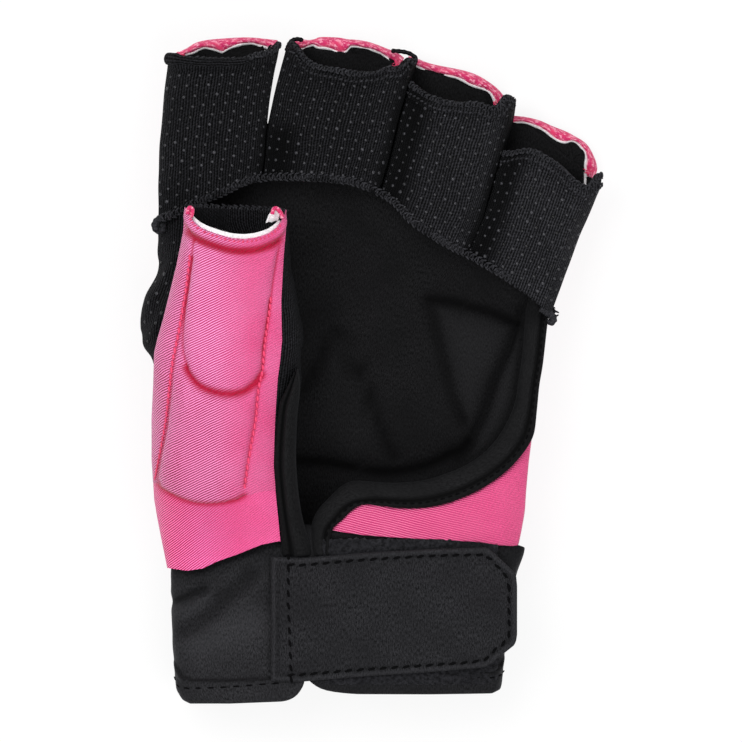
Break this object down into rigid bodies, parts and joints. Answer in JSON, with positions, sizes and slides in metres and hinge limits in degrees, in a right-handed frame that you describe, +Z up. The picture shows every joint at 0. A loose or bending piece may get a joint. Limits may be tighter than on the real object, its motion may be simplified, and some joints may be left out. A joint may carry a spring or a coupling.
{
  "type": "field hockey glove",
  "caption": "Open-palm padded field hockey glove for the left hand, with half fingers, a folding thumb and a wrist strap, lying on its back.",
  "frame": {"origin": "centre of the bounding box at the surface that the glove's padded back lies on", "axes": "+X from the thumb side to the little finger, +Y from the cuff to the finger tips, +Z up out of the palm"},
  "size_m": [0.1246, 0.1801, 0.0457],
  "materials": {
    "twill": "pink twill over foam, matt, with a fine diagonal rib",
    "pad": "moulded foam pad under pink twill",
    "knit": "black rib knit with small clear silicone grip dots",
    "lining": "smooth black jersey",
    "binding": "dark stretch binding with a soft sheen",
    "cuff": "dark grey stretch fabric",
    "strap": "dark grey brushed webbing",
    "patch": "black hook and loop tape"
  },
  "bodies": {
    "hand": {"back_shell": "twill", "back_lining": "lining", "palm_panel": "knit", "palm_overlock": "knit", "index_knuckle_pad": "pad", "middle_knuckle_pad": "pad", "ring_knuckle_pad": "pad", "little_knuckle_pad": "pad", "index_metacarpal_pad": "pad", "middle_metacarpal_pad": "pad", "ring_metacarpal_pad": "pad", "little_metacarpal_pad": "pad", "middle_hand_pad": "pad", "thumb_side_pad": "pad", "outer_hand_pad": "pad", "wrist_pad": "pad", "thumb_web": "knit", "heel_flap": "twill", "heel_binding": "binding", "cuff_back": "cuff", "cuff_hem_back": "cuff", "cuff_thumb_side": "cuff", "cuff_hem_thumb_side": "cuff", "cuff_heel_side": "cuff", "cuff_hem_heel_side": "cuff", "strap_anchor": "strap", "cuff_loop_patch": "patch", "thumb_root_panel": "twill"},
    "strap": {"strap_band": "strap", "strap_hook_patch": "patch"},
    "thumb_base": {"thumb_base_shell": "twill", "thumb_base_lining": "lining", "thumb_base_pad": "pad", "thumb_binding": "binding"},
    "thumb_tip": {"thumb_tip_shell": "twill", "thumb_tip_knit": "knit", "thumb_tip_hem": "knit", "thumb_tip_pad": "pad"},
    "index_finger": {"index_back": "twill", "index_lining": "lining", "index_sleeve": "knit", "index_hem": "knit", "index_pad": "pad"},
    "middle_finger": {"middle_back": "twill", "middle_lining": "lining", "middle_sleeve": "knit", "middle_hem": "knit", "middle_pad": "pad"},
    "ring_finger": {"ring_back": "twill", "ring_lining": "lining", "ring_sleeve": "knit", "ring_hem": "knit", "ring_pad": "pad"},
    "little_finger": {"little_back": "twill", "little_lining": "lining", "little_sleeve": "knit", "little_hem": "knit", "little_pad": "pad"}
  },
  "joints": [
    {"name": "index_flex", "type": "hinge", "parent": "hand", "child": "index_finger", "pos_m": [-0.04236, 0.05256, 0.0207], "axis": [0.9986, -0.0523, 0], "range_deg": [0, 70]},
    {"name": "middle_flex", "type": "hinge", "parent": "hand", "child": "middle_finger", "pos_m": [-0.01134, 0.05526, 0.0207], "axis": [0.9912, -0.1323, 0], "range_deg": [0, 70]},
    {"name": "ring_flex", "type": "hinge", "parent": "hand", "child": "ring_finger", "pos_m": [0.01869, 0.04446, 0.0207], "axis": [0.9806, -0.1959, 0], "range_deg": [0, 70]},
    {"name": "little_flex", "type": "hinge", "parent": "hand", "child": "little_finger", "pos_m": [0.04311, 0.03366, 0.0207], "axis": [0.9563, -0.2924, 0], "range_deg": [0, 70]},
    {"name": "thumb_fold", "type": "hinge", "parent": "hand", "child": "thumb_base", "pos_m": [-0.05925, -0.025, 0.016], "axis": [0, -1, 0], "range_deg": [0, 55]},
    {"name": "thumb_flex", "type": "hinge", "parent": "thumb_base", "child": "thumb_tip", "pos_m": [-0.0385, -0.00756, 0.0457], "axis": [1, 0, 0], "range_deg": [0, 25]},
    {"name": "strap_peel", "type": "hinge", "parent": "hand", "child": "strap", "pos_m": [-0.01906, -0.06534, 0.0274], "axis": [0, -1, 0], "range_deg": [0, 150]}
  ]
}
